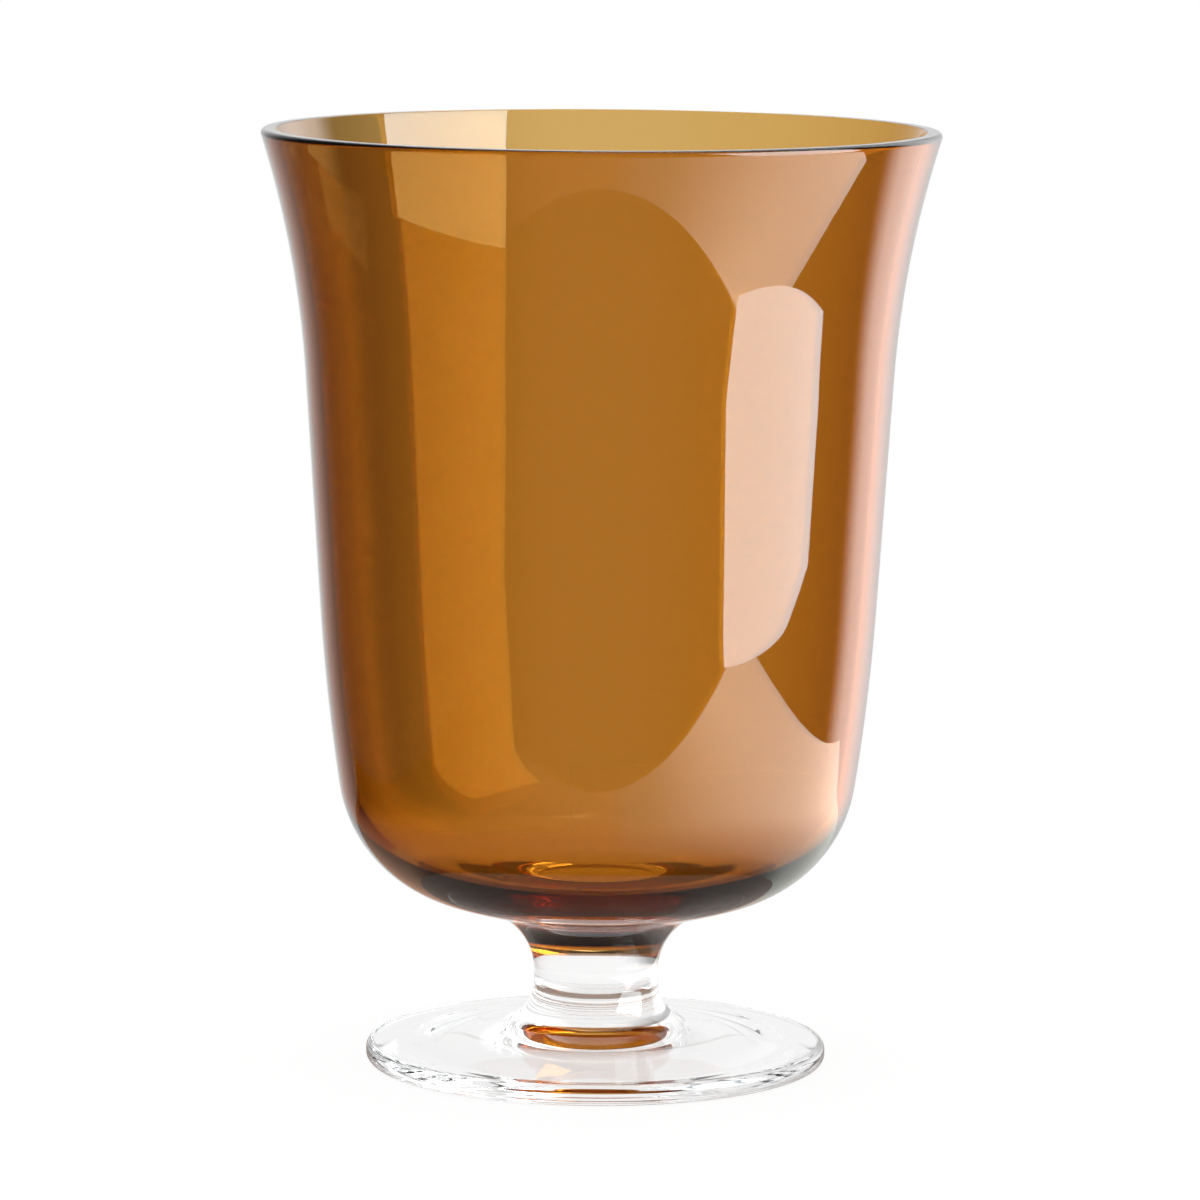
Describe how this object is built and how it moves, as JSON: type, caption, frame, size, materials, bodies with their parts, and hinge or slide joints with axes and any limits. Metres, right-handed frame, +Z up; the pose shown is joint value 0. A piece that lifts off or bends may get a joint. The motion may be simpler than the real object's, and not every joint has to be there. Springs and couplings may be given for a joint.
{
  "type": "footed glass vase",
  "caption": "Bell-shaped amber glass vase cased in clear glass, with a flared cut rim, a short waisted clear stem and a round clear foot.",
  "frame": {"origin": "middle of the foot's resting plane, which the vase stands on", "axes": "+Z up along the vase's axis to the mouth; +X and +Y are free, because every piece is turned about Z"},
  "size_m": [0.1798, 0.1798, 0.25],
  "materials": {
    "amber_glass": "transparent amber-brown glass, smooth and fire polished",
    "clear_casing_glass": "clear colourless glass, fire polished, with a cut and polished rim",
    "clear_stem_glass": "clear colourless glass, fire polished, faint drawn lines",
    "clear_foot_glass": "clear colourless glass, fire polished, slight waves"
  },
  "bodies": {
    "root": {"amber_lining": "amber_glass", "clear_casing": "clear_casing_glass", "stem": "clear_stem_glass", "foot": "clear_foot_glass"}
  },
  "joints": []
}
